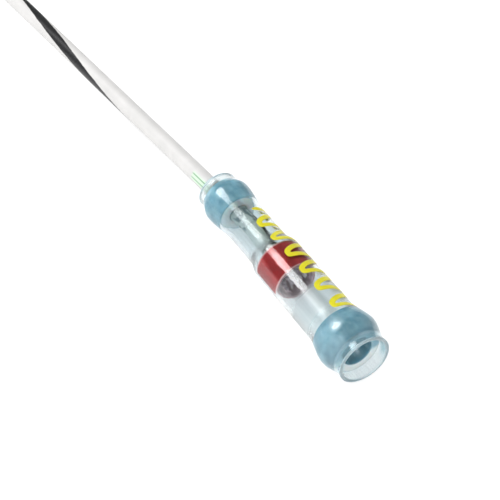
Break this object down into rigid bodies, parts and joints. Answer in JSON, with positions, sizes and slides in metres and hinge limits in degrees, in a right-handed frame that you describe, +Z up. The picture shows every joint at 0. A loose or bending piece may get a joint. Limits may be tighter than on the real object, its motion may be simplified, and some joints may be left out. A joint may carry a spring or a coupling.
{
  "type": "solder seal wire connector",
  "caption": "Clear shrink tube holding blue seal rings and a red solder ring, with a stranded lead fitted in one end, for soldering a ground wire to a cable shield.",
  "frame": {"origin": "centre of the cable seal's bore, where its straight wall begins behind the open mouth", "axes": "+X along the tube, out of its open cable mouth; +Z up as the connector lies on a table"},
  "size_m": [0.0586, 0.0151, 0.0038],
  "materials": {
    "clear_plastic": "clear pale blue, glossy, with yellow printed marks",
    "blue_sealant": "translucent sea-blue meltable plastic",
    "red_solder": "solder under a glossy red flux coat",
    "white_insulation": "satin white with a black spiral stripe",
    "tinned_copper": "bright tinned wire"
  },
  "bodies": {
    "root": {"clear_shrink_tube": "clear_plastic", "cable_end_seal": "blue_sealant", "lead_end_seal": "blue_sealant", "solder_ring": "red_solder", "lead_insulation": "white_insulation", "conductor_strands": "tinned_copper", "lead_run": "white_insulation", "lead_coil": "white_insulation"}
  },
  "joints": []
}
